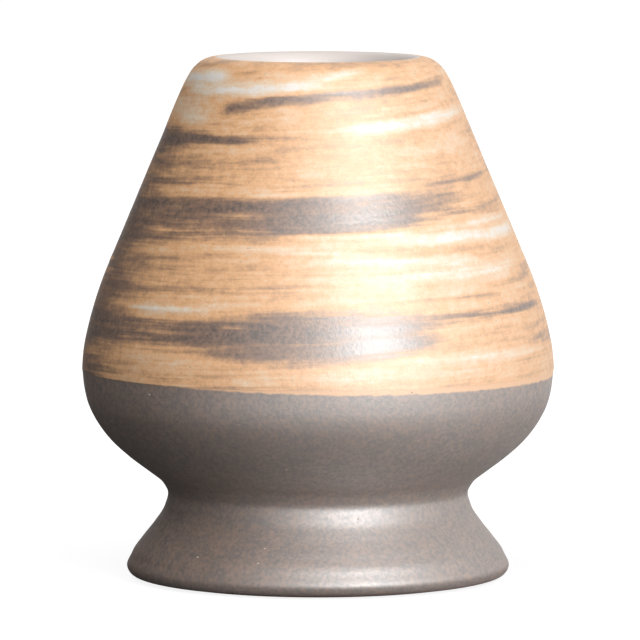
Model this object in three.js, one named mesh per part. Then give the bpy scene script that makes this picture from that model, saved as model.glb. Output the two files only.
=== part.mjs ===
// Tea whisk holder: a hollow stoneware form that a wet bamboo whisk is set over, tines down, so that it
// dries in shape. The outer tines lie on the pear-shaped bulb and the inner ones stand in its mouth.
//
// The bulb and the flared foot are two clay pieces, luted end to end at the waist. The passage runs right
// through them, so that the whisk drains and air reaches it. Three fired coats lie on the clay: a brushed
// slip from the belly up over the lip, a dark glaze from the belly down to the foot, and a liner inside.
// The ring that the holder stands on is left bare.
//
// Millimetres, +Z up. The origin is on the axis, on the surface that the foot stands on.
import * as THREE from "three";

// Radii of the clay, from the foot up to the mouth
const footRadius = 25.3;
const waistRadius = 19.5;
const bellyRadius = 31.2;
const flankTopRadius = 19.75;
const mouthRadius = 12.0;

// Runs in from the foot's edge to the bare ring underneath, in from the belly to the straight flank, and
// out from the mouth to the lip's crest
const edgeRun = 1.35;
const bevelRun = 1.8;
const seatWidth = 3.8;
const bellyTurnRun = 3.3;
const lipRun = 1.6;

// Rises of the outside, each stacked on the one below it
const edgeRise = 0.9;
const flareRise = 10.0;
const undersideRise = 16.65;
const bellyTurnRise = 13.3;
const flankRise = 19.45;
const shoulderRise = 8.5;

// Depths inside the mouth, measured down from the lip's crest, and the bare rim inside the foot
const lipRollDepth = 2.1;
const mouthLandDepth = 1.6;
const bareRimRise = 1.6;

// Thicknesses, and the glaze's clearance from the surface that the foot stands on
const wallThickness = 4.0;
const slipThickness = 0.5;
const glazeThickness = 0.4;
const linerThickness = 0.4;
const glazeClearance = 0.3;

// How far each curve follows its first and its last tangent, as shares of its rise, or of its run where
// the tangent is level
const edgeHandleShares = [0.75, 0.6];
const flareHandleShares = [0.22, 0.31];
const undersideHandleShares = [0.19, 0.65];
const bellyTurnHandleShares = [0.34, 0.15];
const shoulderHandleShares = [0.81, 0.46];
const lipHandleShares = [0.6, 0.5];
const throatHandleShares = [0.4, 0.4];
const footInsideHandleShares = [0.4, 0.3];

// Flat steps along each curve, and round the axis
const edgeSteps = 2;
const flareSteps = 5;
const undersideSteps = 6;
const bellyTurnSteps = 5;
const shoulderSteps = 5;
const lipSteps = 4;
const throatSteps = 4;
const cavitySteps = 4;
const footInsideSteps = 3;
const stepsAround = 48;

// Heights where the stretches of the outside meet
const glazeLineHeight = glazeThickness + glazeClearance;
const footEdgeHeight = glazeLineHeight + edgeRise;
const waistHeight = footEdgeHeight + flareRise;
const bellyHeight = waistHeight + undersideRise;
const flankLowHeight = bellyHeight + bellyTurnRise;
const flankTopHeight = flankLowHeight + flankRise;
const crestHeight = flankTopHeight + shoulderRise;
const mouthTopHeight = crestHeight - lipRollDepth;

// Points of the half section, as a radius and a height
const glazeLineRadius = footRadius - edgeRun;
const seatOuterRadius = glazeLineRadius - bevelRun;
const seatInnerRadius = seatOuterRadius - seatWidth;
const flankLowRadius = bellyRadius - bellyTurnRun;
const crestRadius = mouthRadius + lipRun;
const seatOuter = new THREE.Vector2(seatOuterRadius, 0);
const glazeLine = new THREE.Vector2(glazeLineRadius, glazeLineHeight);
const footEdge = new THREE.Vector2(footRadius, footEdgeHeight);
const waist = new THREE.Vector2(waistRadius, waistHeight);
const belly = new THREE.Vector2(bellyRadius, bellyHeight);
const flankLow = new THREE.Vector2(flankLowRadius, flankLowHeight);
const flankTop = new THREE.Vector2(flankTopRadius, flankTopHeight);
const crest = new THREE.Vector2(crestRadius, crestHeight);
const mouthTop = new THREE.Vector2(mouthRadius, mouthTopHeight);
const mouthLow = new THREE.Vector2(mouthRadius, mouthTopHeight - mouthLandDepth);
const linerLine = new THREE.Vector2(seatInnerRadius, bareRimRise);
const seatInner = new THREE.Vector2(seatInnerRadius, 0);

// Directions along the section, which runs up the outside, over the lip and down the inside
const up = new THREE.Vector2(0, 1);
const down = new THREE.Vector2(0, -1);
const inwards = new THREE.Vector2(-1, 0);
const alongBevel = glazeLine.clone().sub(seatOuter).normalize();
const alongFlank = flankTop.clone().sub(flankLow).normalize();

// A curve that leaves its start and arrives at its end along the given directions
function bend(start, leaving, leavingReach, end, arriving, arrivingReach) {
  const startHandle = start.clone().addScaledVector(leaving, leavingReach);
  const endHandle = end.clone().addScaledVector(arriving, -arrivingReach);
  return new THREE.CubicBezierCurve(start, startHandle, endHandle, end);
}

// Points along a curve, each with the direction that leads out of the clay
function walk(curve, stepCount = 1) {
  const stations = [];
  for (let i = 0; i <= stepCount; i += 1) {
    const along = curve.getTangent(i / stepCount);
    stations.push({
      at: curve.getPoint(i / stepCount),
      out: new THREE.Vector2(along.y, -along.x),
    });
  }
  return stations;
}

// Walks joined end to end, with the point that two neighbours share taken once
function join(...walks) {
  return walks.flatMap((stations, i) => (i === 0 ? stations : stations.slice(1)));
}

// The inner face of the wall behind a walk on the outside, taken the other way, down the inside
function innerFace(stations) {
  const behind = stations.map(({ at, out }) => ({
    at: at.clone().addScaledVector(out, -wallThickness),
    out: out.clone().negate(),
  }));
  return behind.reverse();
}

function points(stations) {
  return stations.map(({ at }) => at);
}

// A coat's closed outline: out over its fired face and back along the clay
function coatOutline(stations, thickness) {
  const face = stations.map(({ at, out }) => at.clone().addScaledVector(out, thickness));
  return [...face, ...points(stations).reverse()];
}

// The outside of the foot
const bevel = walk(new THREE.LineCurve(seatOuter, glazeLine));
const edge = walk(
  bend(
    glazeLine,
    alongBevel,
    edgeHandleShares[0] * edgeRun,
    footEdge,
    up,
    edgeHandleShares[1] * edgeRise,
  ),
  edgeSteps,
);
const flare = walk(
  bend(footEdge, up, flareHandleShares[0] * flareRise, waist, up, flareHandleShares[1] * flareRise),
  flareSteps,
);

// The outside of the bulb, in which the inner face follows the same two curves with fewer steps
const undersideCurve = bend(
  waist,
  up,
  undersideHandleShares[0] * undersideRise,
  belly,
  up,
  undersideHandleShares[1] * undersideRise,
);
const bellyTurnCurve = bend(
  belly,
  up,
  bellyTurnHandleShares[0] * bellyTurnRise,
  flankLow,
  alongFlank,
  bellyTurnHandleShares[1] * bellyTurnRise,
);
const underside = walk(undersideCurve, undersideSteps);
const bellyTurn = walk(bellyTurnCurve, bellyTurnSteps);
const flank = walk(new THREE.LineCurve(flankLow, flankTop));
const shoulder = walk(
  bend(
    flankTop,
    alongFlank,
    shoulderHandleShares[0] * shoulderRise,
    crest,
    inwards,
    shoulderHandleShares[1] * (flankTopRadius - crestRadius),
  ),
  shoulderSteps,
);

// The lip rolls over into the mouth, whose short straight land guides the inner tines
const lip = walk(
  bend(
    crest,
    inwards,
    lipHandleShares[0] * lipRun,
    mouthTop,
    down,
    lipHandleShares[1] * lipRollDepth,
  ),
  lipSteps,
);
const mouthLand = walk(new THREE.LineCurve(mouthTop, mouthLow));

// The cavity opens out below the mouth, then keeps the wall's thickness down to the waist
const cavityWall = join(
  innerFace(flank),
  innerFace(walk(bellyTurnCurve, cavitySteps)),
  innerFace(walk(undersideCurve, cavitySteps)),
);
const cavityTop = cavityWall[0].at;
const throatDrop = mouthLow.y - cavityTop.y;
const throat = walk(
  bend(
    mouthLow,
    down,
    throatHandleShares[0] * throatDrop,
    cavityTop,
    alongFlank.clone().negate(),
    throatHandleShares[1] * throatDrop,
  ),
  throatSteps,
);

// The inside of the foot widens from the waist down to its bare rim
const waistInside = cavityWall[cavityWall.length - 1].at;
const footInsideDrop = waistHeight - bareRimRise;
const footInside = walk(
  bend(
    waistInside,
    down,
    footInsideHandleShares[0] * footInsideDrop,
    linerLine,
    down,
    footInsideHandleShares[1] * footInsideDrop,
  ),
  footInsideSteps,
);

const stoneware = new THREE.MeshStandardMaterial({
  name: "stoneware",
  color: 0x8a6a55,
  roughness: 0.9,
  metalness: 0,
});
const brushedSlip = new THREE.MeshStandardMaterial({
  name: "brushed_slip",
  color: 0xe2af81,
  roughness: 0.5,
  metalness: 0,
});
const darkGlaze = new THREE.MeshStandardMaterial({
  name: "dark_glaze",
  color: 0x7c6c65,
  roughness: 0.42,
  metalness: 0,
});

const holder = new THREE.Group();
holder.rotation.x = Math.PI / 2;

// Turns a closed outline round the axis, which the group stands up along +Z.
function turn(name, outline, material) {
  const closed = [...outline, outline[0]];
  const mesh = new THREE.Mesh(new THREE.LatheGeometry(closed, stepsAround), material);
  mesh.name = name;
  holder.add(mesh);
}

// The clay: the luted faces of the two pieces are the flat rings between waist and waistInside
turn(
  "foot",
  [...points(join(bevel, edge, flare)), ...points(footInside), seatInner],
  stoneware,
);
turn(
  "bulb",
  points(join(underside, bellyTurn, flank, shoulder, lip, mouthLand, throat, cavityWall)),
  stoneware,
);

// The fired coats
turn(
  "brushed_slip_coat",
  coatOutline(join(bellyTurn, flank, shoulder, lip, mouthLand), slipThickness),
  brushedSlip,
);
turn("dark_glaze_coat", coatOutline(join(edge, flare, underside), glazeThickness), darkGlaze);
turn(
  "liner_glaze_coat",
  coatOutline(join(throat, cavityWall, footInside), linerThickness),
  darkGlaze,
);

export default holder;
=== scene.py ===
"""A stoneware tea whisk holder: clay turned in two pieces, dark glaze below and brushed slip above.

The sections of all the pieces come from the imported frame. Each one is smoothed, turned round the axis with
Geometry Nodes and given its fired finish. Run as a script, it builds the holder and its stage.
"""

import math
from typing import NamedTuple

import bmesh
import bpy
import numpy as np
from bpy.props import FloatProperty, FloatVectorProperty, IntProperty, PointerProperty
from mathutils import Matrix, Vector


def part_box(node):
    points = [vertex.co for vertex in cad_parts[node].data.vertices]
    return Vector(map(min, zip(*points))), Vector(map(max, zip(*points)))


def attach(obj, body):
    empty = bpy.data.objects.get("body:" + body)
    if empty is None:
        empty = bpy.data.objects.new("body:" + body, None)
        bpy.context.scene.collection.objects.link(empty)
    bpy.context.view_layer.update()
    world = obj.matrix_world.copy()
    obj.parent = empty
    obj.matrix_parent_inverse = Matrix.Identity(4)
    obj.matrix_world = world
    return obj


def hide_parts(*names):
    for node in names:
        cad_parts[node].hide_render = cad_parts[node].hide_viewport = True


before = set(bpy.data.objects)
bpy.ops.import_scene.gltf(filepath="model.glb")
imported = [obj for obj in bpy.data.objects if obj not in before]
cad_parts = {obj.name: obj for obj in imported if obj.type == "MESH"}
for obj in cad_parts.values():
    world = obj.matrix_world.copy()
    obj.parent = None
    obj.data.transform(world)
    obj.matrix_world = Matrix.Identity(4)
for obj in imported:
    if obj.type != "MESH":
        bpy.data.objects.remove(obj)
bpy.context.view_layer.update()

bl_info = {
    "name": "Tea Whisk Holder",
    "version": (1, 0, 0),
    "blender": (4, 5, 0),
    "location": "View3D > Sidebar > Whisk Holder",
    "description": "Builds a turned stoneware whisk holder with a brushed slip and a dark glaze",
    "category": "Add Mesh",
}

BODY = "root"
MM = 0.001
MERGE_DISTANCE = 1e-6

# The coats and the clay, as nodes of the frame
FOOT, BULB = "foot", "bulb"
SLIP_COAT, DARK_COAT, LINER_COAT = "brushed_slip_coat", "dark_glaze_coat", "liner_glaze_coat"
PIECES = (FOOT, BULB, SLIP_COAT, DARK_COAT, LINER_COAT)

SLIP_LOW, SLIP_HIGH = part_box(SLIP_COAT)
CREST_HEIGHT = SLIP_HIGH.z
GLAZE_LINE = SLIP_LOW.z

# Where the slip runs furthest down over the dark glaze, and how far in millimetres
RUN_AZIMUTH = math.radians(65.0)
RUN_DEPTH = 1.1

# The dark glaze pools just below the bulb's lowest face and thins out a little above its own lowest edge
POOL_DROP, POOL_REACH = 0.2 * MM, 1.7 * MM
DRAIN_RISE, DRAIN_REACH = 2.3 * MM, 1.1 * MM
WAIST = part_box(BULB)[0].z - POOL_DROP
FOOT_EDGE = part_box(DARK_COAT)[0].z + DRAIN_RISE

# Heights and spacings of the faint rings that the turner's fingers leave
GLAZE_RINGS = (0.05 * MM, 2.6 * MM)
LINER_RINGS = (0.35 * MM, 2.4 * MM)

# How strongly each glaze mirrors, and the depth of its fine relief
SLIP_IOR = 2.8
DARK_IOR = 3.6
GLAZE_RELIEF = 0.026 * MM
LINER_RELIEF = 0.02 * MM
CLAY_RELIEF = 0.06 * MM
GRAIN_RELIEF = 0.005 * MM

# Colours of the small marks in the finishes
WARM_TINT = (1.0, 0.80, 0.68, 1.0)
OLIVE_SPECK = (0.24, 0.165, 0.095, 1.0)
GLAZE_END = (0.17, 0.060, 0.034, 1.0)
CLAY_DARK, CLAY_PALE = (0.19, 0.10, 0.06, 1.0), (0.34, 0.21, 0.135, 1.0)
CLAY_BLUSH, CLAY_SPECK = (0.30, 0.13, 0.07, 1.0), (0.06, 0.045, 0.035, 1.0)
GRAIN_DULL, GRAIN_PALE = (0.40, 0.34, 0.29, 1.0), (0.62, 0.57, 0.51, 1.0)

# The two broad lamps, and the camera, in metres
SIDE_LAMP = {
    "size": (1.0, 1.0), "azimuth": math.radians(88), "elevation": math.radians(26), "distance": 1.1
}
TOP_LAMP = {
    "size": (1.2, 1.2), "azimuth": math.radians(-44), "elevation": math.radians(56), "distance": 1.2
}
CAMERA_PLACE = (0.00028, -1.0, 0.1251)
CAMERA_TARGET = (0.00028, 0.0, 0.03465)
SENSOR_WIDTH = 36.0
FLOOR_HALF = 4.0
# The mat under the holder is painted shade that only the holder sees
MAT_RADIUS = 0.12
MAT_PLACE = (-0.01, 0.05, 0.15 * MM)
FLAG_LIFT = 0.3 * MM

# Levels of the slip, from bare dark glaze to the thickest ridges
BARE, THIN, TAN, CREAM, WHITE = 0.0, 0.25, 0.5, 0.75, 1.0


class Stroke(NamedTuple):
    """One pass of the brush, in degrees from the front towards +X, and in millimetres."""

    azimuth: float
    reach: float
    height: float
    rise: float
    half_width: float
    soft: float
    level: float
    strength: float = 1.0


# The brush strokes in the order that they lie on each other: where each one is thickest, how far it
# reaches to both sides, its height there, how much it rises in a radian, and its width
STROKES = (
    # The slip is browner and darker over the left side: partly thinner slip, partly painted shade on the
    # side away from the key light
    Stroke(-104, 58, 44.0, 0.00, 24.0, 8.00, 0.10, 0.78),
    Stroke(-72, 40, 55.2, 0.60, 2.60, 1.60, THIN, 0.45),
    # Broad dark gaps that run most of the way round
    Stroke(-80, 150, 48.7, 1.40, 2.75, 0.90, 0.02, 0.68),
    Stroke(8, 32, 50.5, 1.40, 2.00, 1.10, BARE, 0.82),
    Stroke(-85, 110, 34.2, 0.70, 2.10, 0.90, 0.02, 0.66),
    Stroke(-2, 42, 35.0, 0.90, 3.00, 1.20, BARE, 0.80),
    Stroke(135, 62, 57.0, 1.20, 1.60, 0.70, BARE, 0.88),
    Stroke(150, 58, 43.6, 0.80, 1.20, 0.60, BARE, 0.88),
    Stroke(120, 44, 33.4, 0.90, 1.30, 0.60, BARE, 0.88),
    # Narrow dark gaps near the mouth and at the right
    Stroke(-27, 19, 64.7, 3.20, 0.80, 0.80, BARE, 0.80),
    Stroke(-4, 28, 65.7, 1.10, 0.50, 0.70, BARE, 0.72),
    Stroke(40, 36, 66.5, 1.10, 0.42, 0.60, BARE, 0.78),
    Stroke(46, 18, 64.8, 1.60, 0.30, 0.50, THIN, 0.50),
    Stroke(-88, 52, 59.3, 0.80, 1.50, 0.90, BARE, 0.82),
    Stroke(-50, 34, 59.9, 0.50, 0.52, 0.50, BARE, 0.84),
    Stroke(-18, 26, 60.3, 0.90, 0.22, 0.45, 0.12, 0.75),
    Stroke(48, 34, 54.3, 1.40, 0.40, 0.55, 0.12, 0.60),
    Stroke(37, 20, 52.0, 1.00, 0.90, 0.90, 0.15, 0.50),
    Stroke(58, 24, 50.8, 1.20, 0.40, 0.55, 0.15, 0.50),
    Stroke(50, 30, 37.4, 0.25, 0.36, 0.60, BARE, 0.72),
    Stroke(66, 16, 37.7, 0.40, 0.40, 0.50, BARE, 0.60),
    Stroke(40, 18, 39.6, 0.30, 0.20, 0.40, 0.15, 0.60),
    Stroke(66, 20, 41.2, 0.80, 0.25, 0.40, 0.15, 0.65),
    Stroke(60, 26, 33.6, 0.40, 0.25, 0.45, THIN, 0.60),
    # Thinly covered, browner streaks
    Stroke(-22, 28, 50.5, 1.20, 0.35, 0.50, THIN, 0.60),
    Stroke(-50, 30, 50.4, 0.80, 0.30, 0.50, 0.32, 0.60),
    Stroke(-30, 26, 57.2, 0.80, 0.30, 0.50, 0.22, 0.45),
    Stroke(-52, 30, 56.4, 0.60, 0.35, 0.50, 0.20, 0.50),
    Stroke(-58, 24, 44.5, 0.40, 0.45, 0.60, 0.18, 0.60),
    Stroke(-30, 30, 43.4, 0.60, 0.25, 0.50, 0.22, 0.50),
    Stroke(-45, 38, 40.5, 0.60, 0.45, 0.60, 0.18, 0.55),
    Stroke(-20, 24, 41.2, 0.60, 0.20, 0.45, 0.22, 0.45),
    Stroke(10, 30, 43.0, 0.50, 0.20, 0.45, THIN, 0.40),
    Stroke(-60, 26, 30.7, 0.20, 0.30, 0.50, 0.20, 0.50),
    Stroke(170, 50, 52.0, 0.90, 0.50, 0.50, THIN, 0.60),
    Stroke(-150, 40, 40.4, 0.60, 0.45, 0.50, THIN, 0.55),
    # Brown streaks and tan flecks laid back over the dark gaps
    Stroke(-56, 26, 35.1, 0.30, 0.22, 0.45, 0.32, 0.60),
    Stroke(-40, 26, 34.0, 0.50, 0.30, 0.50, 0.34, 0.70),
    Stroke(-52, 28, 32.9, 0.40, 0.50, 0.60, 0.40, 0.65),
    Stroke(-6, 20, 34.2, 0.80, 0.16, 0.40, TAN, 0.65),
    Stroke(-20, 26, 33.2, 0.40, 0.25, 0.50, 0.34, 0.50),
    Stroke(-46, 20, 48.2, 0.40, 0.16, 0.45, TAN, 0.50),
    Stroke(-34, 6, 48.8, 0.00, 0.12, 0.45, TAN, 0.55),
    Stroke(-19, 8, 48.4, 0.00, 0.14, 0.45, TAN, 0.70),
    Stroke(-8, 7, 48.9, 0.00, 0.12, 0.45, TAN, 0.45),
    Stroke(-22, 4, 36.3, 0.00, 0.20, 0.50, TAN, 0.75),
    Stroke(-120, 46, 48.8, 0.60, 0.40, 0.50, TAN, 0.60),
    # Pale ridges where the slip is thickest
    Stroke(-34, 44, 66.5, 1.10, 0.80, 0.70, WHITE, 0.90),
    Stroke(-64, 28, 67.6, 0.80, 0.95, 0.80, WHITE, 0.92),
    Stroke(0, 24, 67.8, 3.60, 0.45, 0.60, WHITE, 0.80),
    Stroke(-74, 34, 63.6, 0.90, 2.00, 1.80, 0.90, 0.55),
    Stroke(42, 44, 62.3, 1.50, 0.75, 0.60, WHITE, 0.90),
    Stroke(2, 38, 53.4, 1.30, 0.16, 0.40, CREAM, 0.80),
    Stroke(36, 42, 42.8, 0.20, 2.20, 1.20, CREAM, 0.60),
    Stroke(10, 26, 48.0, 0.50, 0.24, 0.40, WHITE, 0.70),
    Stroke(52, 42, 47.3, 0.20, 0.75, 0.60, WHITE, 0.90),
    Stroke(64, 18, 49.2, 0.60, 0.50, 0.60, WHITE, 0.70),
    Stroke(4, 22, 45.7, 0.00, 0.20, 0.40, WHITE, 0.65),
    Stroke(26, 32, 44.6, -0.30, 0.45, 0.60, WHITE, 0.80),
    Stroke(42, 24, 42.7, 0.30, 0.50, 0.60, WHITE, 0.60),
    Stroke(-20, 32, 46.3, 0.20, 0.22, 0.40, CREAM, 0.75),
    Stroke(-43, 18, 38.1, 0.80, 0.30, 0.40, WHITE, 0.95),
    Stroke(-14, 66, 39.2, 1.10, 0.25, 0.45, CREAM, 0.70),
    Stroke(44, 34, 31.9, 0.40, 0.50, 0.60, WHITE, 0.65),
    # Partly painted highlight: this cream band on the belly at the front right lies where the key light's
    # sheen falls, over paler slip
    Stroke(24, 36, 30.3, 0.30, 0.70, 0.80, CREAM, 0.70),
    Stroke(-36, 34, 30.2, 0.30, 0.35, 0.60, 0.62, 0.60),
    Stroke(175, 52, 61.2, 1.30, 0.60, 0.55, WHITE, 0.80),
    Stroke(118, 40, 39.4, 0.80, 0.45, 0.50, CREAM, 0.80),
    Stroke(-128, 44, 54.6, 0.90, 0.55, 0.55, WHITE, 0.75),
    Stroke(-112, 36, 42.7, 0.70, 0.40, 0.45, CREAM, 0.75),
    Stroke(-170, 50, 31.0, 0.60, 0.45, 0.50, CREAM, 0.75),
)


class TurningSettings(bpy.types.PropertyGroup):
    """How finely the pieces are turned."""

    steps_around: IntProperty(
        name="Steps around", description="Flat steps round the axis", default=288, min=48
    )
    fine_step: FloatProperty(
        name="Fine step", description="Step along a face that shows",
        default=0.22 * MM, unit="LENGTH", precision=5,
    )
    coarse_step: FloatProperty(
        name="Coarse step", description="Step along a face that another piece covers",
        default=1.2 * MM, unit="LENGTH", precision=5,
    )
    corner: FloatProperty(
        name="Corner", description="A sharper turn than this stays a corner",
        default=math.radians(62), subtype="ANGLE",
    )


class SlipSettings(bpy.types.PropertyGroup):
    """The brushed slip and what shows through it."""

    brown: FloatVectorProperty(
        name="Thin slip", description="Colour where little slip covers the dark glaze",
        default=(0.33, 0.175, 0.095), subtype="COLOR", size=3, min=0, max=1,
    )
    tan: FloatVectorProperty(
        name="Tan slip", description="Colour of the slip at its usual thickness",
        default=(0.76, 0.415, 0.188), subtype="COLOR", size=3, min=0, max=1,
    )
    cream: FloatVectorProperty(
        name="Thick slip", description="Colour of the thicker ridges",
        default=(0.80, 0.63, 0.46), subtype="COLOR", size=3, min=0, max=1,
    )
    white: FloatVectorProperty(
        name="Thickest slip", description="Colour of the thickest ridges",
        default=(0.80, 0.74, 0.68), subtype="COLOR", size=3, min=0, max=1,
    )
    lip: FloatVectorProperty(
        name="Inside of the lip", description="Colour of the slip where it rolls over into the mouth",
        default=(0.66, 0.585, 0.545), subtype="COLOR", size=3, min=0, max=1,
    )
    relief: FloatProperty(
        name="Relief", description="How far the thickest ridges stand above bare glaze",
        default=0.085 * MM, unit="LENGTH", precision=6,
    )
    edge_fade: FloatProperty(
        name="Edge fade", description="Height over which the slip thins out at the glaze line",
        default=0.55 * MM, unit="LENGTH", precision=5,
    )


class GlazeSettings(bpy.types.PropertyGroup):
    """The dark glaze outside and inside."""

    low: FloatVectorProperty(
        name="Deep glaze", description="Darkest colour of the mottled glaze",
        default=(0.064, 0.047, 0.039), subtype="COLOR", size=3, min=0, max=1,
    )
    high: FloatVectorProperty(
        name="Light glaze", description="Lightest colour of the mottled glaze",
        default=(0.222, 0.134, 0.094), subtype="COLOR", size=3, min=0, max=1,
    )
    pooled: FloatProperty(
        name="Pooled", description="Extra thickness where the glaze pools in the waist",
        default=0.24 * MM, unit="LENGTH", precision=5,
    )
    drained: FloatProperty(
        name="Drained", description="Thickness lost where the glaze drains off the edge of the foot",
        default=0.12 * MM, unit="LENGTH", precision=5,
    )
    grains: IntProperty(
        name="Grains", description="Pale grains that stand up through the glaze", default=130, min=0
    )
    grain_size: FloatProperty(
        name="Grain size", description="Radius of the largest grain",
        default=0.17 * MM, unit="LENGTH", precision=5,
    )


class StageSettings(bpy.types.PropertyGroup):
    """The floor, the lights and the camera."""

    key_power: FloatProperty(
        name="Key light", description="Power of the large soft light", default=9.0, unit="POWER"
    )
    key_width: FloatProperty(
        name="Key width", description="Width of the soft light", default=0.50, unit="LENGTH"
    )
    key_height: FloatProperty(
        name="Key height", description="Height of the soft light", default=0.72, unit="LENGTH"
    )
    key_distance: FloatProperty(
        name="Key distance", description="From the soft light to the holder", default=1.0, unit="LENGTH"
    )
    key_azimuth: FloatProperty(
        name="Key azimuth", description="From the front towards +X",
        default=math.radians(30), subtype="ANGLE",
    )
    key_elevation: FloatProperty(
        name="Key elevation", description="Above the floor", default=math.radians(21), subtype="ANGLE"
    )
    fill_power: FloatProperty(
        name="Side light", description="Power of the broad light at the right", default=2.6, unit="POWER"
    )
    top_power: FloatProperty(
        name="Top light", description="Power of the light above the left side", default=9.0, unit="POWER"
    )
    ambient: FloatProperty(
        name="Surroundings", description="Brightness of the light from all round", default=0.08
    )
    lens: FloatProperty(
        name="Lens", description="Focal length of the camera", default=421.3, unit="CAMERA"
    )


class Recipe:
    """Adds nodes to one tree and joins them as they are added."""

    def __init__(self, tree):
        self.tree = tree

    def add(self, kind, inputs=None, **settings):
        """A new node. Each input is a value or another node's output."""
        node = self.tree.nodes.new(kind)
        for name, value in settings.items():
            setattr(node, name, value)
        for name, value in (inputs or {}).items():
            if isinstance(value, bpy.types.NodeSocket):
                self.tree.links.new(value, node.inputs[name])
            else:
                node.inputs[name].default_value = value
        return node

    def math(self, operation, *values):
        return self.add("ShaderNodeMath", dict(enumerate(values)), operation=operation).outputs[0]

    def scaled(self, vector, factors):
        inputs = {0: vector, 1: factors}
        return self.add("ShaderNodeVectorMath", inputs, operation="MULTIPLY").outputs[0]

    def vector(self, *values):
        return self.add("ShaderNodeCombineXYZ", dict(enumerate(values))).outputs[0]

    def split(self, vector):
        return self.add("ShaderNodeSeparateXYZ", {0: vector}).outputs

    def blend(self, factor, first, second):
        """A colour between two, by the factor."""
        inputs = {0: factor, 6: first, 7: second}
        return self.add("ShaderNodeMix", inputs, data_type="RGBA").outputs[2]

    def stretch(self, value, low, high, new_low=0.0, new_high=1.0):
        """The value's range low to high carried onto another, and held there."""
        inputs = {0: value, 1: low, 2: high, 3: new_low, 4: new_high}
        return self.add("ShaderNodeMapRange", inputs, interpolation_type="SMOOTHSTEP").outputs[0]

    def ramp(self, value, stops):
        """A colour ramp through (place, colour) stops."""
        node = self.add("ShaderNodeValToRGB", {0: value})
        elements = node.color_ramp.elements
        while len(elements) < len(stops):
            elements.new(1.0)
        for element, (place, colour) in zip(elements, stops):
            element.position = place
            element.color = (*colour, 1.0)
        return node.outputs[0]


# Sections of the pieces


def section(node_name):
    """The corners of a node's closed half section, as (radius, height), counter-clockwise.

    They are where the node's mesh meets the half plane y = 0, x > 0.
    """
    source = bmesh.new()
    source.from_mesh(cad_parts[node_name].data)
    bmesh.ops.remove_doubles(source, verts=source.verts, dist=MERGE_DISTANCE)

    def on_plane(vert):
        return abs(vert.co.y) < 10 * MERGE_DISTANCE and vert.co.x > 0

    links = {}
    for edge in source.edges:
        first, second = edge.verts
        if on_plane(first) and on_plane(second):
            links.setdefault(first, []).append(second)
            links.setdefault(second, []).append(first)
    start = min(links, key=lambda vert: (vert.co.z, vert.co.x))
    loop = [start]
    last, here = start, links[start][0]
    while here is not start:
        loop.append(here)
        following = next(vert for vert in links[here] if vert is not last)
        last, here = here, following
    corners = [(vert.co.x, vert.co.z) for vert in loop]
    source.free()
    area = sum(a[0] * b[1] - b[0] * a[1] for a, b in zip(corners, corners[1:] + corners[:1]))
    if area < 0:
        corners.reverse()
    return np.array(corners)


def tangents(corners, corner_angle):
    """The direction of the smoothed outline before and after each corner."""
    chords = np.roll(corners, -1, axis=0) - corners
    lengths = np.linalg.norm(chords, axis=1)
    slopes = chords / lengths[:, None]
    before = np.empty_like(corners)
    after = np.empty_like(corners)
    straight_ratio = 3.0
    for i in range(len(corners)):
        slope_in, slope_out = slopes[i - 1], slopes[i]
        length_in, length_out = lengths[i - 1], lengths[i]
        on_floor = corners[i][1] < MERGE_DISTANCE
        if on_floor or slope_in @ slope_out < math.cos(corner_angle):
            before[i] = after[i] = np.nan
            continue
        if length_out > straight_ratio * length_in:
            tangent = slope_out
        elif length_in > straight_ratio * length_out:
            tangent = slope_in
        else:
            tangent = slope_in * length_out + slope_out * length_in
        before[i] = after[i] = tangent / np.linalg.norm(tangent)
    for i in range(len(corners)):
        following = (i + 1) % len(corners)
        if np.isnan(after[i]).any() and np.isnan(before[following]).any():
            after[i] = before[following] = slopes[i]
        elif np.isnan(after[i]).any():
            after[i] = 1.5 * slopes[i] - 0.5 * before[following]
        elif np.isnan(before[following]).any():
            before[following] = 1.5 * slopes[i] - 0.5 * after[i]
    return before, after, lengths


def fine_outline(corners, covered, settings):
    """Points of the smoothed section, close together where the surface shows."""
    before, after, lengths = tangents(corners, settings.corner)
    points = []
    for i, start in enumerate(corners):
        following = (i + 1) % len(corners)
        end = corners[following]
        step = settings.coarse_step if covered[i] else settings.fine_step
        count = max(1, round(lengths[i] / step))
        t = np.arange(count)[:, None] / count
        points.append(
            (2 * t**3 - 3 * t**2 + 1) * start
            + (t**3 - 2 * t**2 + t) * lengths[i] * after[i]
            + (3 * t**2 - 2 * t**3) * end
            + (t**3 - t**2) * lengths[i] * before[following]
        )
    return np.concatenate(points)


def touching(corners, others):
    """Which chords of a section lie on the sections of other pieces."""
    known = {tuple(point) for other in others for point in np.round(other, 6)}
    on_other = [tuple(point) in known for point in np.round(corners, 6)]
    return [on_other[i] and on_other[(i + 1) % len(corners)] for i in range(len(corners))]


# Turning with Geometry Nodes


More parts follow.
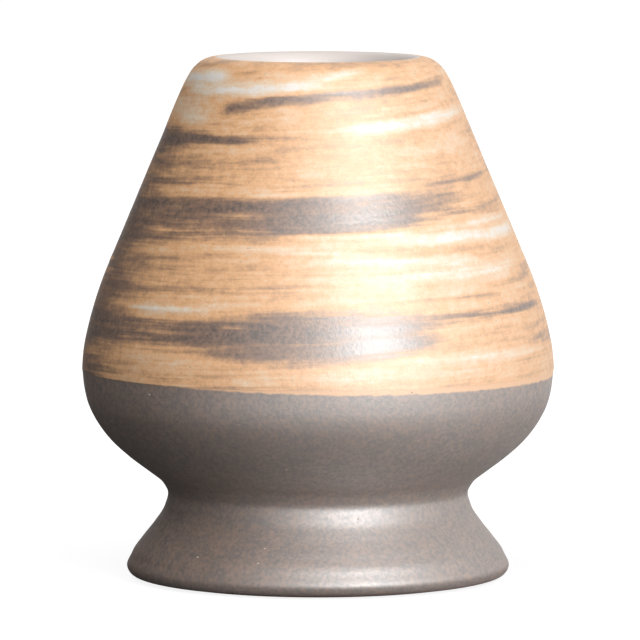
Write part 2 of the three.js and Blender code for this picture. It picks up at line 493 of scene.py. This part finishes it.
def turning_tree():
    """A tree that turns a closed outline in the plane y = 0 round the Z axis."""
    tree = bpy.data.node_groups.get("turning")
    if tree:
        return tree
    tree = bpy.data.node_groups.new("turning", "GeometryNodeTree")
    sockets = (
        ("Outline", "NodeSocketGeometry"),
        ("Steps around", "NodeSocketInt"),
        ("Ring height", "NodeSocketFloat"),
        ("Ring spacing", "NodeSocketFloat"),
        ("Finish", "NodeSocketMaterial"),
    )
    for name, kind in sockets:
        tree.interface.new_socket(name, in_out="INPUT", socket_type=kind)
    tree.interface.new_socket("Turned", in_out="OUTPUT", socket_type="NodeSocketGeometry")
    recipe = Recipe(tree)
    given = recipe.add("NodeGroupInput").outputs
    place = recipe.add("GeometryNodeInputPosition").outputs[0]

    # The outline and the circle each carry their own places along
    outline = recipe.add("GeometryNodeMeshToCurve", {"Mesh": given["Outline"]}).outputs[0]
    kept_outline = recipe.add("GeometryNodeCaptureAttribute", {"Geometry": outline})
    kept_outline.capture_items.new("VECTOR", "on outline")
    tree.links.new(place, kept_outline.inputs["on outline"])
    circle = recipe.add(
        "GeometryNodeCurvePrimitiveCircle",
        {"Resolution": given["Steps around"], "Radius": 1.0},
    ).outputs[0]
    kept_circle = recipe.add("GeometryNodeCaptureAttribute", {"Geometry": circle})
    kept_circle.capture_items.new("VECTOR", "on circle")
    tree.links.new(place, kept_circle.inputs["on circle"])
    swept = recipe.add(
        "GeometryNodeCurveToMesh",
        {"Curve": kept_circle.outputs[0], "Profile Curve": kept_outline.outputs[0]},
    ).outputs[0]

    # Each point goes out along its spoke by its radius and up to its height
    spoke = recipe.split(kept_circle.outputs["on circle"])
    half_section = recipe.split(kept_outline.outputs["on outline"])
    turned_place = recipe.vector(
        recipe.math("MULTIPLY", spoke[0], half_section[0]),
        recipe.math("MULTIPLY", spoke[1], half_section[0]),
        half_section[2],
    )
    turned = recipe.add(
        "GeometryNodeSetPosition", {"Geometry": swept, "Position": turned_place}
    ).outputs[0]

    # Faint rings that the turner's fingers leave, which wander a little round the axis
    wander = recipe.scaled(place, (14.0, 14.0, 14.0))
    drift = recipe.add("ShaderNodeTexNoise", {"Vector": wander, "Scale": 1.0}).outputs[0]
    rings_at = recipe.math(
        "ADD",
        recipe.math("DIVIDE", recipe.split(place)[2], given["Ring spacing"]),
        recipe.math("MULTIPLY", drift, 3.0),
    )
    rings = recipe.add(
        "ShaderNodeTexNoise", {"W": rings_at, "Scale": 1.0, "Detail": 2.0}, noise_dimensions="1D"
    ).outputs[0]
    lift = recipe.math("MULTIPLY", recipe.math("SUBTRACT", rings, 0.5), given["Ring height"])
    normal = recipe.add("GeometryNodeInputNormal").outputs[0]
    offset = recipe.add(
        "ShaderNodeVectorMath", {0: normal, "Scale": lift}, operation="SCALE"
    ).outputs[0]
    lifted = recipe.add("GeometryNodeSetPosition", {"Geometry": turned, "Offset": offset}).outputs[0]

    real = recipe.add("GeometryNodeRealizeInstances", {"Geometry": lifted}).outputs[0]
    finished = recipe.add(
        "GeometryNodeSetMaterial", {"Geometry": real, "Material": given["Finish"]}
    ).outputs[0]
    recipe.add("NodeGroupOutput", {0: finished})
    return tree


def made_by_nodes(name, base_mesh, tree, values):
    """A plain mesh object: what the tree makes of a base mesh with these inputs."""
    base = bpy.data.objects.new(f"{name}_base", base_mesh)
    bpy.context.scene.collection.objects.link(base)
    modifier = base.modifiers.new("nodes", "NODES")
    modifier.node_group = tree
    for item in tree.interface.items_tree:
        if item.in_out == "INPUT" and item.name in values:
            modifier[item.identifier] = values[item.name]
    depsgraph = bpy.context.evaluated_depsgraph_get()
    mesh = bpy.data.meshes.new_from_object(base.evaluated_get(depsgraph), depsgraph=depsgraph)
    mesh.name = name
    bpy.data.objects.remove(base)
    piece = bpy.data.objects.new(name, mesh)
    bpy.context.scene.collection.objects.link(piece)
    return piece


def turn(node_name, piece_name, finish, ring_height=0.0, ring_spacing=3.0 * MM):
    """Turns the fine piece that stands for a node, and checks which way its faces point."""
    settings = bpy.context.scene.whisk_holder_turning
    corners = section(node_name)
    others = [section(other) for other in PIECES if other != node_name]
    points = fine_outline(corners, touching(corners, others), settings)
    outline = bpy.data.meshes.new(f"{piece_name}_outline")
    count = len(points)
    outline.from_pydata(
        [(radius, 0.0, height) for radius, height in points],
        [(i, (i + 1) % count) for i in range(count)],
        [],
    )
    values = {
        "Steps around": settings.steps_around,
        "Ring height": ring_height,
        "Ring spacing": ring_spacing,
        "Finish": finish,
    }
    piece = made_by_nodes(piece_name, outline, turning_tree(), values)
    shell = bmesh.new()
    shell.from_mesh(piece.data)
    if shell.calc_volume(signed=True) < 0:
        bmesh.ops.reverse_faces(shell, faces=shell.faces)
    shell.to_mesh(piece.data)
    shell.free()
    piece.data.shade_smooth()
    piece.data.set_sharp_from_angle(angle=settings.corner)
    return piece


def seat(piece, slot, *nodes):
    """Gives a finished piece its body and hides the nodes that it stands for. Its slot is not used."""
    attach(piece, BODY)
    if nodes:
        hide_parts(*nodes)


# The slip, brushed on in strokes


def smooth_step(value):
    held = np.clip(value, 0.0, 1.0)
    return held * held * (3.0 - 2.0 * held)


def wander(azimuth, seed, size, waves=6):
    """A wavy line round the axis that meets itself."""
    random = np.random.default_rng(seed)
    line = np.zeros_like(azimuth)
    for wave in range(1, waves + 1):
        phase = random.uniform(0.0, 2.0 * math.pi)
        line += random.uniform(-1.0, 1.0) * np.cos(wave * azimuth + phase) / math.sqrt(wave)
    return size * line


def cover(stroke, seed, azimuth, height):
    """How fully a stroke covers each place, from 0 to 1."""
    middle_azimuth = math.radians(stroke.azimuth)
    reach = math.radians(stroke.reach)
    beside = np.angle(np.exp(1j * (azimuth - middle_azimuth)))
    along = beside / reach
    middle = stroke.height + stroke.rise * beside + wander(azimuth, seed, 0.10)
    taper = np.sqrt(np.clip(1.0 - along**2, 0.0, 1.0))
    half_width = stroke.half_width * taper + wander(azimuth, seed + 1, 0.05, 12)
    across = (half_width + stroke.soft - np.abs(height - middle)) / (2.0 * stroke.soft)
    ends = (1.0 - np.abs(along)) / 0.5
    return stroke.strength * smooth_step(across) * smooth_step(ends)


def slip_levels(places, settings):
    """The slip's level at each place, from 0 for bare glaze to 1 for the thickest ridge."""
    azimuth = np.arctan2(places[:, 0], -places[:, 1])
    height = places[:, 2] / MM
    radius = np.hypot(places[:, 0], places[:, 1])
    level = np.full(len(places), TAN)
    for i, stroke in enumerate(STROKES):
        covered = cover(stroke, 2 * i + 5, azimuth, height)
        level += (stroke.level - level) * covered
    crest_radius, roll, lip_level = 13.6 * MM, 0.7 * MM, 1.05
    inside_lip = smooth_step((crest_radius - radius) / roll + 0.5)
    level += (lip_level - level) * inside_lip
    above_line = (places[:, 2] - GLAZE_LINE) / settings.edge_fade
    # Where the slip runs on over the dark glaze, it keeps its level down to its end
    at_line, held = 0.2, 0.8
    runs_on = held * np.clip(1.0 + np.cos(azimuth - RUN_AZIMUTH), 0.0, 1.0)
    return level * smooth_step(above_line + at_line + runs_on + wander(azimuth, 2, 0.14, 16))


def store_levels(piece, levels):
    attribute = piece.data.attributes.new("slip", "FLOAT", "POINT")
    attribute.data.foreach_set("value", levels.astype(np.float32))


def places_of(mesh, field="co"):
    """Vertex places or normals as rows of three."""
    values = np.empty(3 * len(mesh.vertices), dtype=np.float32)
    mesh.vertices.foreach_get(field, values)
    return values.reshape(-1, 3).astype(float)


# Finishes


def new_material(name):
    material = bpy.data.materials.new(name)
    material.use_nodes = True
    material.node_tree.nodes.clear()
    return material, Recipe(material.node_tree)


def finish_material(recipe, colour, roughness, height, distance, **sockets):
    """Ends a material with one shader, its bump and its output."""
    bump = recipe.add("ShaderNodeBump", {"Height": height, "Distance": distance, "Strength": 1.0})
    inputs = {"Base Color": colour, "Roughness": roughness, "Normal": bump.outputs[0], **sockets}
    shader = recipe.add("ShaderNodeBsdfPrincipled", inputs)
    recipe.add("ShaderNodeOutputMaterial", {"Surface": shader.outputs[0]})


def millimetres(recipe):
    """The place on the piece, in millimetres."""
    place = recipe.add("ShaderNodeTexCoord").outputs["Object"]
    return recipe.scaled(place, (1000.0, 1000.0, 1000.0))


def noise(recipe, place, scale, detail=2.0, rough=0.5):
    inputs = {"Vector": place, "Scale": scale, "Detail": detail, "Roughness": rough}
    return recipe.add("ShaderNodeTexNoise", inputs).outputs[0]


def mottled_glaze(recipe, place):
    """Colour, roughness and height of the dark glaze."""
    settings = bpy.context.scene.whisk_holder_glaze
    grain = noise(recipe, place, 1.9, 3.0, 0.7)
    cloud = noise(recipe, place, 0.16, 2.0)
    patch = noise(recipe, place, 0.6, 3.0, 0.6)
    mix = recipe.math("ADD", recipe.math("MULTIPLY", grain, 0.75), recipe.math("MULTIPLY", patch, 0.25))
    spread = recipe.stretch(mix, 0.37, 0.63)
    mottled = recipe.blend(spread, (*settings.low, 1.0), (*settings.high, 1.0))
    clouded = recipe.stretch(cloud, 0.42, 0.7, 0.0, 0.25)
    warm = recipe.add(
        "ShaderNodeMix", {0: clouded, 6: mottled, 7: WARM_TINT}, data_type="RGBA", blend_type="MULTIPLY"
    ).outputs[2]
    roughness = recipe.stretch(grain, 0.32, 0.68, 0.59, 0.52)
    peel = noise(recipe, place, 2.4, 2.0)
    return warm, roughness, recipe.math("ADD", peel, recipe.math("MULTIPLY", grain, 0.5))


def bristles(recipe, place, length, pitch):
    """Noise drawn out round the axis in rising streaks, which meets itself at the back.

    The streaks rise by a millimetre in a radian, and a bristle is about one pitch wide.
    """
    x, y, z = recipe.split(place)
    azimuth = recipe.math("ARCTAN2", x, recipe.math("MULTIPLY", y, -1.0))
    helix = recipe.math("SUBTRACT", z, azimuth)
    inputs = {
        "Vector": recipe.vector(
            recipe.math("DIVIDE", recipe.math("COSINE", azimuth), length),
            recipe.math("DIVIDE", recipe.math("SINE", azimuth), length),
            recipe.math(
                "ADD",
                recipe.math("DIVIDE", recipe.math("COSINE", helix), pitch),
                recipe.math("MULTIPLY", z, 0.45),
            ),
        ),
        "W": recipe.math("DIVIDE", recipe.math("SINE", helix), pitch),
        "Scale": 1.0,
        "Detail": 2.0,
        "Roughness": 0.55,
    }
    return recipe.add("ShaderNodeTexNoise", inputs, noise_dimensions="4D").outputs[0]


def slip_material():
    """Brushed slip over dark glaze, by the level that each vertex carries."""
    settings = bpy.context.scene.whisk_holder_slip
    material, recipe = new_material("brushed_slip")
    place = millimetres(recipe)
    glaze, _, glaze_height = mottled_glaze(recipe, place)
    level = recipe.add("ShaderNodeAttribute", attribute_name="slip").outputs["Fac"]
    fine = bristles(recipe, place, 0.34, 0.52)
    broad = bristles(recipe, place, 0.7, 1.4)
    mottle = noise(recipe, recipe.scaled(place, (0.7, 0.7, 1.0)), 1.1, 3.0, 0.65)
    blotch = noise(recipe, recipe.scaled(place, (0.5, 0.5, 1.0)), 0.32, 2.0)
    speck = noise(recipe, place, 2.6, 2.0, 0.6)

    def swing(value, size):
        return recipe.math("MULTIPLY", recipe.math("SUBTRACT", value, 0.5), size)

    streaked = recipe.math("ADD", level, swing(fine, 0.52))
    streaked = recipe.math("ADD", streaked, swing(broad, 0.50))
    varied = recipe.math("ADD", streaked, swing(mottle, 0.52))
    varied = recipe.math("ADD", varied, swing(speck, 0.32))
    varied = recipe.math("ADD", varied, swing(blotch, 0.36))
    slip_colour = recipe.ramp(
        varied,
        (
            (0.14, settings.brown),
            (0.50, settings.tan),
            (0.84, settings.cream),
            (1.00, settings.white),
        ),
    )
    covered = recipe.stretch(recipe.math("ADD", streaked, swing(mottle, 0.20)), 0.00, 0.48)
    colour = recipe.blend(covered, glaze, slip_colour)

    # Olive brown specks burnt through the tan, in clusters
    pepper = recipe.stretch(speck, 0.60, 0.74)
    cluster = recipe.stretch(noise(recipe, place, 0.30, 2.0), 0.44, 0.62, 0.15, 1.0)
    peppered = recipe.math("MULTIPLY", recipe.math("MULTIPLY", pepper, cluster), 0.60)
    colour = recipe.blend(peppered, colour, OLIVE_SPECK)

    # The slip is thick and pale where it rolls over into the mouth
    from_axis = recipe.add(
        "ShaderNodeVectorMath", {0: recipe.scaled(place, (1.0, 1.0, 0.0))}, operation="LENGTH"
    ).outputs["Value"]
    inside = recipe.stretch(from_axis, 13.2, 13.9, 1.0, 0.0)
    colour = recipe.blend(inside, colour, (*settings.lip, 1.0))

    roughness = recipe.add(
        "ShaderNodeMix", {0: covered, 2: 0.45, 3: recipe.stretch(fine, 0.3, 0.7, 0.52, 0.60)}
    ).outputs[0]
    height = recipe.math("ADD", recipe.math("MULTIPLY", varied, 1.1), glaze_height)
    finish_material(recipe, colour, roughness, height, GLAZE_RELIEF, IOR=SLIP_IOR)
    return material


def dark_glaze_material():
    """Dark glaze, reddish brown at its lowest edge and with the slip run down over its upper one."""
    material, recipe = new_material("dark_glaze")
    place = millimetres(recipe)
    colour, roughness, height = mottled_glaze(recipe, place)

    # The glaze breaks to a thin reddish brown line at its lowest edge
    x, y, z = recipe.split(place)
    low = recipe.stretch(z, 0.45, 1.05, 0.75, 0.0)
    colour = recipe.blend(low, colour, GLAZE_END)

    # The slip runs a little way down over the glaze's upper edge, and thins out to brown there
    towards = recipe.math(
        "ADD",
        recipe.math("MULTIPLY", x, math.sin(RUN_AZIMUTH)),
        recipe.math("MULTIPLY", y, -math.cos(RUN_AZIMUTH)),
    )
    run = recipe.stretch(towards, -30.0, 30.0, 0.0, RUN_DEPTH)
    fray = noise(recipe, place, 0.9, 3.0, 0.6)
    ragged = recipe.math("MULTIPLY", recipe.math("SUBTRACT", fray, 0.5), 0.6)
    above_line = recipe.math("SUBTRACT", z, GLAZE_LINE / MM)
    reach = recipe.math("ADD", recipe.math("ADD", above_line, run), ragged)
    over = recipe.stretch(reach, 0.12, 0.52)
    settings = bpy.context.scene.whisk_holder_slip
    thinned = recipe.ramp(over, ((0.30, settings.brown), (0.95, settings.tan)))
    colour = recipe.blend(recipe.stretch(over, 0.0, 0.5), colour, thinned)
    finish_material(recipe, colour, roughness, height, GLAZE_RELIEF, IOR=DARK_IOR)
    return material


def liner_material():
    """The same mottled glaze, thin and dull, for the inside."""
    material, recipe = new_material("liner_glaze")
    place = millimetres(recipe)
    colour, roughness, height = mottled_glaze(recipe, place)
    finish_material(recipe, colour, roughness, height, LINER_RELIEF)
    return material


def clay_material():
    """Bare stoneware: gritty, matt and reddish brown."""
    material, recipe = new_material("stoneware")
    place = millimetres(recipe)
    grit = noise(recipe, place, 3.2, 4.0, 0.65)
    blush = noise(recipe, place, 0.25, 2.0)
    base = recipe.blend(recipe.stretch(grit, 0.35, 0.65), CLAY_DARK, CLAY_PALE)
    colour = recipe.blend(recipe.stretch(blush, 0.4, 0.65, 0.0, 0.5), base, CLAY_BLUSH)
    specks = recipe.add("ShaderNodeTexVoronoi", {"Vector": place, "Scale": 1.6}).outputs["Distance"]
    colour = recipe.blend(recipe.stretch(specks, 0.06, 0.16, 0.7, 0.0), colour, CLAY_SPECK)
    finish_material(recipe, colour, recipe.stretch(grit, 0.3, 0.7, 0.92, 0.78), grit, CLAY_RELIEF)
    return material


def grain_material():
    """Pale, dull grains of the clay's grit."""
    material, recipe = new_material("pale_grain")
    place = millimetres(recipe)
    shade = noise(recipe, place, 5.0)
    colour = recipe.blend(shade, GRAIN_DULL, GRAIN_PALE)
    finish_material(recipe, colour, recipe.stretch(shade, 0.3, 0.7, 0.5, 0.65), shade, GRAIN_RELIEF)
    return material


# Grains in the glaze, scattered with Geometry Nodes


def grain_tree():
    """A tree that sets flattened grains on a surface, each turned along it."""
    tree = bpy.data.node_groups.new("grains", "GeometryNodeTree")
    sockets = (
        ("Surface", "NodeSocketGeometry"),
        ("Count per area", "NodeSocketFloat"),
        ("Size", "NodeSocketFloat"),
        ("Seed", "NodeSocketInt"),
        ("Finish", "NodeSocketMaterial"),
    )
    for name, kind in sockets:
        tree.interface.new_socket(name, in_out="INPUT", socket_type=kind)
    tree.interface.new_socket("Grains", in_out="OUTPUT", socket_type="NodeSocketGeometry")
    recipe = Recipe(tree)
    given = recipe.add("NodeGroupInput").outputs
    spread = recipe.add(
        "GeometryNodeDistributePointsOnFaces",
        {"Mesh": given["Surface"], "Density": given["Count per area"], "Seed": given["Seed"]},
    ).outputs
    grain = recipe.add("GeometryNodeMeshIcoSphere", {"Radius": 1.0, "Subdivisions": 2}).outputs[0]
    size = recipe.add(
        "FunctionNodeRandomValue", {2: 0.2, 3: 1.0, "Seed": given["Seed"]}, data_type="FLOAT"
    ).outputs[1]
    width = recipe.math("MULTIPLY", size, given["Size"])
    flat = recipe.vector(width, recipe.math("MULTIPLY", width, 0.8), recipe.math("MULTIPLY", width, 0.30))
    placed = recipe.add(
        "GeometryNodeInstanceOnPoints",
        {"Points": spread["Points"], "Instance": grain, "Rotation": spread["Rotation"], "Scale": flat},
    ).outputs[0]
    real = recipe.add("GeometryNodeRealizeInstances", {"Geometry": placed}).outputs[0]
    finished = recipe.add(
        "GeometryNodeSetMaterial", {"Geometry": real, "Material": given["Finish"]}
    ).outputs[0]
    recipe.add("NodeGroupOutput", {0: finished})
    return tree


# One operator for each piece, and one for the stage


class WHISKHOLDER_OT_turn_clay(bpy.types.Operator):
    """Turns the two clay pieces, the foot and the bulb"""

    bl_idname = "whisk_holder.turn_clay"
    bl_label = "Turn the Clay"

    def execute(self, context):
        clay = clay_material()
        seat(turn(FOOT, "turned_foot", clay), "stoneware", FOOT)
        seat(turn(BULB, "turned_bulb", clay), "stoneware", BULB)
        return {"FINISHED"}


class WHISKHOLDER_OT_pour_glaze(bpy.types.Operator):
    """Pours the dark glaze over the foot and the lower half of the bulb"""

    bl_idname = "whisk_holder.pour_glaze"
    bl_label = "Pour the Dark Glaze"

    def execute(self, context):
        settings = context.scene.whisk_holder_glaze
        glaze = turn(DARK_COAT, "poured_glaze", dark_glaze_material(), *GLAZE_RINGS)
        places = places_of(glaze.data)
        normals = places_of(glaze.data, "normal")
        outside = (normals[:, :2] * places[:, :2]).sum(axis=1) > 0

        def around(height, reach):
            return outside * np.exp(-(((places[:, 2] - height) / reach) ** 2))

        thicker = settings.pooled * around(WAIST, POOL_REACH)
        thicker -= settings.drained * around(FOOT_EDGE, DRAIN_REACH)
        places += normals * thicker[:, None]
        glaze.data.vertices.foreach_set("co", places.astype(np.float32).ravel())
        seat(glaze, "dark_glaze", DARK_COAT)
        return {"FINISHED"}


class WHISKHOLDER_OT_line_inside(bpy.types.Operator):
    """Lines the inside with thin glaze over the turner's finger rings"""

    bl_idname = "whisk_holder.line_inside"
    bl_label = "Line the Inside"

    def execute(self, context):
        liner = turn(LINER_COAT, "inside_liner", liner_material(), *LINER_RINGS)
        seat(liner, "liner_glaze", LINER_COAT)
        return {"FINISHED"}


class WHISKHOLDER_OT_brush_slip(bpy.types.Operator):
    """Brushes the slip round the upper half, with its streaks in relief"""

    bl_idname = "whisk_holder.brush_slip"
    bl_label = "Brush the Slip"

    def execute(self, context):
        settings = context.scene.whisk_holder_slip
        piece = turn(SLIP_COAT, "brushed_slip", slip_material())
        places = places_of(piece.data)
        normals = places_of(piece.data, "normal")
        levels = slip_levels(places, settings)
        # The lowest edge only moves in and out, and as far as the rows above it, so that it stays on the
        # dark glaze below it without a lip
        lowest_row = 0.05 * MM
        low = places[:, 2] < GLAZE_LINE + lowest_row
        normals[low, 2] = 0.0
        sideways = np.linalg.norm(normals, axis=1)
        outer = low & (sideways > 0.3)
        normals[outer] /= sideways[outer, None]
        places += normals * ((levels - 1.0) * settings.relief)[:, None]
        piece.data.vertices.foreach_set("co", places.astype(np.float32).ravel())
        store_levels(piece, levels)
        seat(piece, "brushed_slip", SLIP_COAT)
        return {"FINISHED"}


class WHISKHOLDER_OT_scatter_grains(bpy.types.Operator):
    """Scatters pale grains that stand up through the dark glaze"""

    bl_idname = "whisk_holder.scatter_grains"
    bl_label = "Scatter the Grains"

    def execute(self, context):
        settings = context.scene.whisk_holder_glaze
        glaze = bpy.data.objects.get("poured_glaze")
        if glaze is None:
            raise RuntimeError("The dark glaze has to be poured before its grains are scattered")
        surface = glaze.data.copy()
        area = sum(polygon.area for polygon in surface.polygons)
        values = {
            "Count per area": settings.grains / area,
            "Size": settings.grain_size,
            "Seed": 7,
            "Finish": grain_material(),
        }
        grains = made_by_nodes("glaze_grains", surface, grain_tree(), values)
        grains.data.shade_smooth()
        seat(grains, "dark_glaze")
        return {"FINISHED"}


def aim(thing, target):
    """Turns a lamp or a camera to look at a place."""
    thing.rotation_euler = (Vector(target) - thing.location).to_track_quat("-Z", "Y").to_euler()


def white_for_camera(recipe, shown, other):
    """One shader for what the camera, mirrors and glass see, and another for the light on the object."""
    path = recipe.add("ShaderNodeLightPath").outputs
    seen = recipe.math("MAXIMUM", path["Is Camera Ray"], path["Is Glossy Ray"])
    seen = recipe.math("MAXIMUM", seen, path["Is Transmission Ray"])
    return recipe.add("ShaderNodeMixShader", {0: seen, 1: other, 2: shown}).outputs[0]


class WHISKHOLDER_OT_set_stage(bpy.types.Operator):
    """Sets up the pale floor, the soft light, the white surroundings and the camera"""

    bl_idname = "whisk_holder.set_stage"
    bl_label = "Set the Stage"

    def execute(self, context):
        settings = context.scene.whisk_holder_stage
        self.lay_floor(context)
        self.light(context, settings)
        self.place_camera(context, settings)
        context.scene.view_settings.view_transform = "Standard"
        return {"FINISHED"}

    def lay_floor(self, context):
        """A pale floor that takes the holder's shadow and shows white to the camera, with painted shade
        where its glow dims close round the holder.
        """
        half = FLOOR_HALF
        mesh = bpy.data.meshes.new("floor")
        corners = [(-half, -half, 0), (half, -half, 0), (half, half, 0), (-half, half, 0)]
        mesh.from_pydata(corners, [], [(0, 1, 2, 3)])
        floor = bpy.data.objects.new("floor", mesh)
        context.scene.collection.objects.link(floor)
        material, recipe = new_material("pale_floor")
        paper = recipe.add("ShaderNodeBsdfDiffuse", {"Color": (0.28, 0.28, 0.28, 1.0)}).outputs[0]
        place = recipe.add("ShaderNodeTexCoord").outputs["Object"]
        away = recipe.add("ShaderNodeVectorMath", {0: place}, operation="LENGTH").outputs["Value"]
        # Painted shade: the glow dims close round the holder, as a contact shadow that the camera and the
        # holder's reflections see
        strength = recipe.stretch(away, 0.03, 0.14, 0.88, 1.0)
        glow_with_painted_shade = recipe.add("ShaderNodeEmission", {"Color": (1, 1, 1, 1), "Strength": strength}).outputs[0]
        lit = recipe.add("ShaderNodeAddShader", {0: paper, 1: glow_with_painted_shade}).outputs[0]
        surface = white_for_camera(recipe, lit, paper)
        recipe.add("ShaderNodeOutputMaterial", {"Surface": surface})
        mesh.materials.append(material)

    def light(self, context, settings):
        """The lamps, the card and the mat that shade the reflections, and the white surroundings."""
        self.hang_lamp(
            context, "key", settings.key_power, (settings.key_width, settings.key_height),
            settings.key_azimuth, settings.key_elevation, settings.key_distance,
        )
        self.hang_lamp(context, "side", settings.fill_power, **SIDE_LAMP, mirrored=False)
        self.hang_lamp(context, "top", settings.top_power, **TOP_LAMP, mirrored=False)
        self.hang_flag(context)
        self.lay_mat(context)
        world = bpy.data.worlds.new("surroundings")
        context.scene.world = world
        world.use_nodes = True
        world.node_tree.nodes.clear()
        recipe = Recipe(world.node_tree)
        white = (1, 1, 1, 1)
        shown = recipe.add("ShaderNodeBackground", {"Color": white, "Strength": 1.0}).outputs[0]
        dim = recipe.add("ShaderNodeBackground", {"Color": white, "Strength": settings.ambient})
        surface = white_for_camera(recipe, shown, dim.outputs[0])
        recipe.add("ShaderNodeOutputWorld", {"Surface": surface})

    def hang_lamp(self, context, name, power, size, azimuth, elevation, distance, mirrored=True):
        """A soft rectangular lamp that faces the holder, and may be kept out of its sheen."""
        lamp = bpy.data.lights.new(name, "AREA")
        lamp.energy = power
        lamp.shape = "RECTANGLE"
        lamp.size, lamp.size_y = size
        hung = bpy.data.objects.new(name, lamp)
        middle = Vector((0, 0, 0.5 * CREST_HEIGHT))
        level = math.cos(elevation) * distance
        hung.location = middle + Vector((
            math.sin(azimuth) * level, -math.cos(azimuth) * level, math.sin(elevation) * distance
        ))
        hung.visible_glossy = mirrored
        context.scene.collection.objects.link(hung)
        aim(hung, middle)

    def hang_flag(self, context):
        """A dark card, folded up beside the holder, that the camera doesn't see and that casts no shadow.

        It keeps the holder's left side deep.
        """
        inner, near, far, front, back, top = -0.09, -0.16, -0.50, -0.74, 0.42, 0.85
        low = FLAG_LIFT
        mesh = bpy.data.meshes.new("flag")
        corners = [
            (inner, front, low), (inner, back, low), (near, back, low), (far, front, low),
            (near, back, top), (far, front, top),
        ]
        mesh.from_pydata(corners, [], [(0, 1, 2, 3), (3, 2, 4, 5)])
        flag = bpy.data.objects.new("flag", mesh)
        context.scene.collection.objects.link(flag)
        flag.visible_camera = False
        flag.visible_shadow = False
        material, recipe = new_material("dark_card")
        card = recipe.add("ShaderNodeBsdfDiffuse", {"Color": (0.16, 0.16, 0.16, 1.0)}).outputs[0]
        recipe.add("ShaderNodeOutputMaterial", {"Surface": card})
        mesh.materials.append(material)

    def lay_mat(self, context):
        """A mat under the holder, darker at the left, which only the holder sees: painted shade of the floor
        under and beside the holder, in its reflections and bounce light.
        """
        shape = bmesh.new()
        bmesh.ops.create_circle(shape, cap_ends=True, radius=MAT_RADIUS, segments=48)
        mesh = bpy.data.meshes.new("mat")
        shape.to_mesh(mesh)
        shape.free()
        mat = bpy.data.objects.new("mat", mesh)
        mat.location = MAT_PLACE
        context.scene.collection.objects.link(mat)
        mat.visible_camera = False
        mat.visible_shadow = False
        material, recipe = new_material("painted_shade_mat")
        across = recipe.split(recipe.add("ShaderNodeTexCoord").outputs["Object"])[0]
        # Painted shade, darkest at the left and lightest at the right
        shade = recipe.stretch(across, -0.03, 0.06, 0.08, 0.60)
        painted_shade_sheet = recipe.add("ShaderNodeBsdfDiffuse", {"Color": shade}).outputs[0]
        recipe.add("ShaderNodeOutputMaterial", {"Surface": painted_shade_sheet})
        mesh.materials.append(material)

    def place_camera(self, context, settings):
        lens = bpy.data.cameras.new("camera")
        lens.lens = settings.lens
        lens.sensor_width = SENSOR_WIDTH
        lens.clip_start = 0.05
        lens.clip_end = 20.0
        camera = bpy.data.objects.new("camera", lens)
        camera.location = CAMERA_PLACE
        context.scene.collection.objects.link(camera)
        aim(camera, CAMERA_TARGET)
        context.scene.camera = camera


class VIEW3D_PT_whisk_holder(bpy.types.Panel):
    """The steps of making the holder, in order, with their sizes and colours"""

    bl_label = "Whisk Holder"
    bl_space_type = "VIEW_3D"
    bl_region_type = "UI"
    bl_category = "Whisk Holder"

    def draw(self, context):
        layout = self.layout
        for group in SETTINGS:
            settings = getattr(context.scene, group)
            box = layout.box()
            for name in settings.bl_rna.properties.keys():
                if name not in ("rna_type", "name"):
                    box.prop(settings, name)
        for operator in OPERATORS:
            layout.operator(operator.bl_idname)


SETTINGS = {
    "whisk_holder_turning": TurningSettings,
    "whisk_holder_slip": SlipSettings,
    "whisk_holder_glaze": GlazeSettings,
    "whisk_holder_stage": StageSettings,
}
OPERATORS = (
    WHISKHOLDER_OT_turn_clay,
    WHISKHOLDER_OT_pour_glaze,
    WHISKHOLDER_OT_line_inside,
    WHISKHOLDER_OT_brush_slip,
    WHISKHOLDER_OT_scatter_grains,
    WHISKHOLDER_OT_set_stage,
)
CLASSES = (*SETTINGS.values(), *OPERATORS, VIEW3D_PT_whisk_holder)


def register():
    for cls in CLASSES:
        bpy.utils.register_class(cls)
    for name, group in SETTINGS.items():
        setattr(bpy.types.Scene, name, PointerProperty(type=group))


def unregister():
    for name in SETTINGS:
        delattr(bpy.types.Scene, name)
    for cls in reversed(CLASSES):
        bpy.utils.unregister_class(cls)


def main():
    register()
    bpy.ops.whisk_holder.turn_clay()
    bpy.ops.whisk_holder.pour_glaze()
    bpy.ops.whisk_holder.line_inside()
    bpy.ops.whisk_holder.brush_slip()
    bpy.ops.whisk_holder.scatter_grains()
    bpy.ops.whisk_holder.set_stage()


if __name__ == "__main__":
    main()
